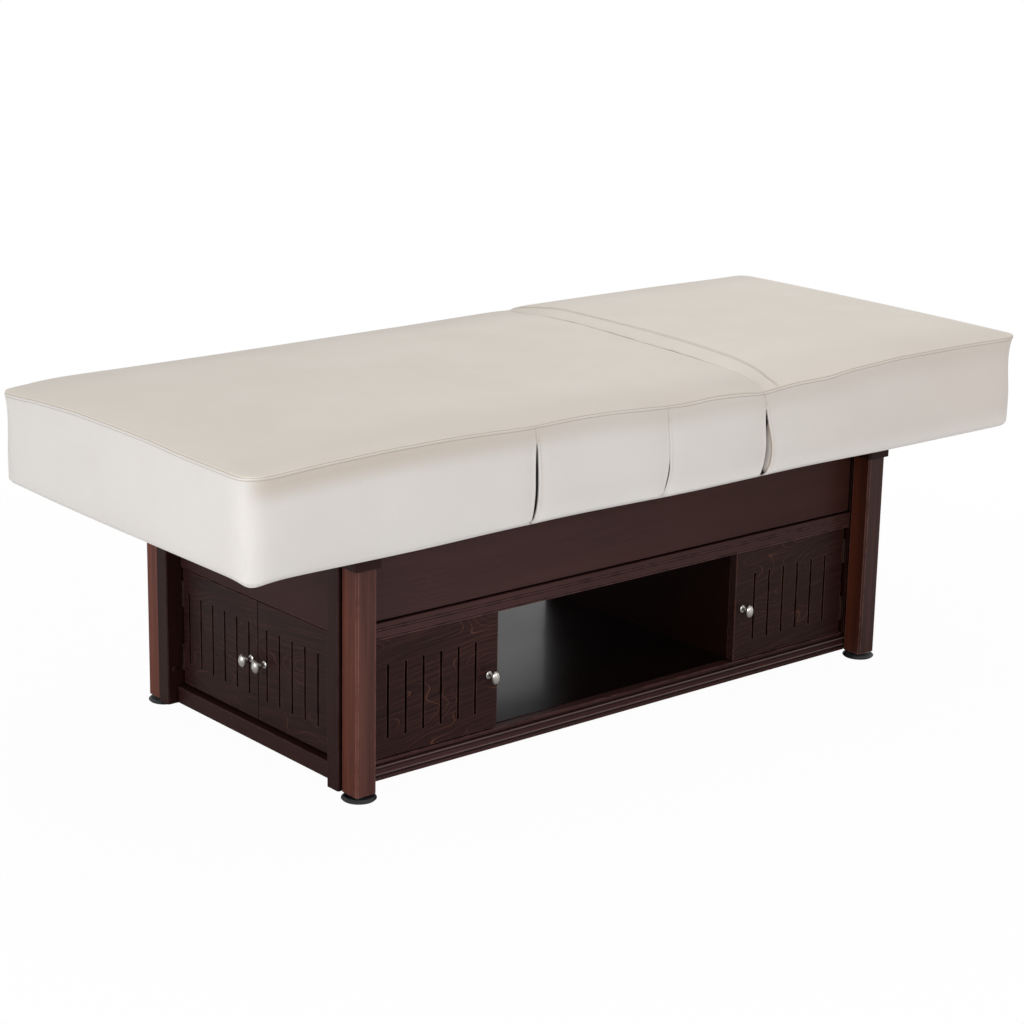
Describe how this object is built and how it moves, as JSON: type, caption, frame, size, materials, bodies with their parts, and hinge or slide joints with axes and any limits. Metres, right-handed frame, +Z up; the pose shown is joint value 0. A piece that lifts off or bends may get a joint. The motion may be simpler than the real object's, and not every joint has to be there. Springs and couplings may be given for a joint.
{
  "type": "spa treatment bed",
  "caption": "Spa treatment bed: a padded leather mattress with lifting back and knee sections over a dark wood cabinet with slotted doors and an open shelf bay.",
  "frame": {"origin": "on the floor, under the middle of the mattress", "axes": "+Z up, +X towards the head end of the bed, +Y towards its rear side"},
  "size_m": [1.865, 0.794, 0.6524],
  "materials": {
    "wood": "dark stained, satin",
    "shelf": "dark laminate, gloss",
    "ply": "bare plywood",
    "steel": "powder coated",
    "bright_steel": "brushed",
    "nickel": "satin nickel",
    "plastic": "matte",
    "cover": "soft leather cover over foam"
  },
  "bodies": {
    "cabinet": {"leg_front_left": "wood", "leg_front_right": "wood", "leg_rear_left": "wood", "leg_rear_right": "wood", "end_stiles": "wood", "end_rails": "wood", "base_mouldings": "wood", "top_mouldings": "wood", "cabinet_floor": "shelf", "cabinet_deck": "wood", "partitions": "wood", "column_housings": "steel", "control_box": "plastic", "door_hinges": "nickel", "door_catches": "plastic"},
    "top_frame": {"guide_posts": "steel", "leg_caps": "wood", "bed_rails": "steel", "side_aprons": "wood", "end_aprons": "wood", "column_rams": "bright_steel", "actuators": "plastic", "hinge_pins": "bright_steel", "glide_strips": "plastic", "seat_board": "ply", "seat_pad": "cover", "back_fold": "cover", "thigh_fold": "cover"},
    "back_section": {"back_frame": "steel", "back_board": "ply", "back_pad": "cover"},
    "thigh_section": {"thigh_frame": "steel", "thigh_board": "ply", "thigh_pad": "cover"},
    "calf_section": {"calf_frame": "steel", "calf_board": "ply", "calf_pad": "cover"},
    "back_rod": {"back_rod": "bright_steel"},
    "knee_rod": {"knee_rod": "bright_steel"},
    "front_left_door": {"front_left_door": "wood", "front_left_knob": "nickel"},
    "front_right_door": {"front_right_door": "wood", "front_right_knob": "nickel"},
    "rear_left_door": {"rear_left_door": "wood", "rear_left_knob": "nickel"},
    "rear_right_door": {"rear_right_door": "wood", "rear_right_knob": "nickel"},
    "left_end_front_door": {"left_end_front_door": "wood", "left_end_front_knob": "nickel"},
    "left_end_rear_door": {"left_end_rear_door": "wood", "left_end_rear_knob": "nickel"},
    "right_end_front_door": {"right_end_front_door": "wood", "right_end_front_knob": "nickel"},
    "right_end_rear_door": {"right_end_rear_door": "wood", "right_end_rear_knob": "nickel"},
    "foot_front_left": {"foot_front_left": "plastic"},
    "foot_front_right": {"foot_front_right": "plastic"},
    "foot_rear_left": {"foot_rear_left": "plastic"},
    "foot_rear_right": {"foot_rear_right": "plastic"}
  },
  "joints": [
    {"name": "lift", "type": "slide", "parent": "cabinet", "child": "top_frame", "axis": [0, 0, 1], "range_m": [0, 0.2]},
    {"name": "back_hinge", "type": "hinge", "parent": "top_frame", "child": "back_section", "pos_m": [0.216, 0, 0.443], "axis": [0, -1, 0], "range_deg": [0, 65], "deforming": ["back_fold"]},
    {"name": "thigh_hinge", "type": "hinge", "parent": "top_frame", "child": "thigh_section", "pos_m": [-0.03, 0, 0.443], "axis": [0, 1, 0], "range_deg": [0, 20], "deforming": ["thigh_fold"]},
    {"name": "calf_hinge", "type": "hinge", "parent": "thigh_section", "child": "calf_section", "pos_m": [-0.344, 0, 0.443], "axis": [0, -1, 0], "range_deg": [0, 37]},
    {"name": "back_rod_slide", "type": "slide", "parent": "top_frame", "child": "back_rod", "axis": [1, 0, 0], "range_m": [0, 0.0756]},
    {"name": "knee_rod_slide", "type": "slide", "parent": "top_frame", "child": "knee_rod", "axis": [-1, 0, 0], "range_m": [0, 0.0246]},
    {"name": "rear_right_door_hinge", "type": "hinge", "parent": "cabinet", "child": "rear_right_door", "pos_m": [0.5745, 0.2775, 0.158], "axis": [0, 0, -1], "range_deg": [0, 90]},
    {"name": "rear_left_door_hinge", "type": "hinge", "parent": "cabinet", "child": "rear_left_door", "pos_m": [-0.6225, 0.2775, 0.158], "axis": [0, 0, 1], "range_deg": [0, 90]},
    {"name": "front_left_door_hinge", "type": "hinge", "parent": "cabinet", "child": "front_left_door", "pos_m": [-0.6225, -0.2775, 0.158], "axis": [0, 0, -1], "range_deg": [0, 90]},
    {"name": "front_right_door_hinge", "type": "hinge", "parent": "cabinet", "child": "front_right_door", "pos_m": [0.5745, -0.2775, 0.158], "axis": [0, 0, 1], "range_deg": [0, 90]},
    {"name": "right_end_rear_door_hinge", "type": "hinge", "parent": "cabinet", "child": "right_end_rear_door", "pos_m": [0.595, 0.2475, 0.158], "axis": [0, 0, 1], "range_deg": [0, 90]},
    {"name": "left_end_rear_door_hinge", "type": "hinge", "parent": "cabinet", "child": "left_end_rear_door", "pos_m": [-0.643, 0.2475, 0.158], "axis": [0, 0, -1], "range_deg": [0, 90]},
    {"name": "right_end_front_door_hinge", "type": "hinge", "parent": "cabinet", "child": "right_end_front_door", "pos_m": [0.595, -0.2475, 0.158], "axis": [0, 0, -1], "range_deg": [0, 90]},
    {"name": "left_end_front_door_hinge", "type": "hinge", "parent": "cabinet", "child": "left_end_front_door", "pos_m": [-0.643, -0.2475, 0.158], "axis": [0, 0, 1], "range_deg": [0, 90]},
    {"name": "foot_front_left_screw", "type": "slide", "parent": "cabinet", "child": "foot_front_left", "axis": [0, 0, 1], "range_m": [-0.012, 0]},
    {"name": "foot_front_right_screw", "type": "slide", "parent": "cabinet", "child": "foot_front_right", "axis": [0, 0, 1], "range_m": [-0.012, 0]},
    {"name": "foot_rear_left_screw", "type": "slide", "parent": "cabinet", "child": "foot_rear_left", "axis": [0, 0, 1], "range_m": [-0.012, 0]},
    {"name": "foot_rear_right_screw", "type": "slide", "parent": "cabinet", "child": "foot_rear_right", "axis": [0, 0, 1], "range_m": [-0.012, 0]}
  ],
  "couplings": [
    {"joint": "calf_hinge", "follows": "thigh_hinge", "ratio": 1.85},
    {"joint": "back_rod_slide", "follows": "back_hinge", "m_per_rad": 0.0663},
    {"joint": "knee_rod_slide", "follows": "thigh_hinge", "m_per_rad": 0.06965}
  ]
}
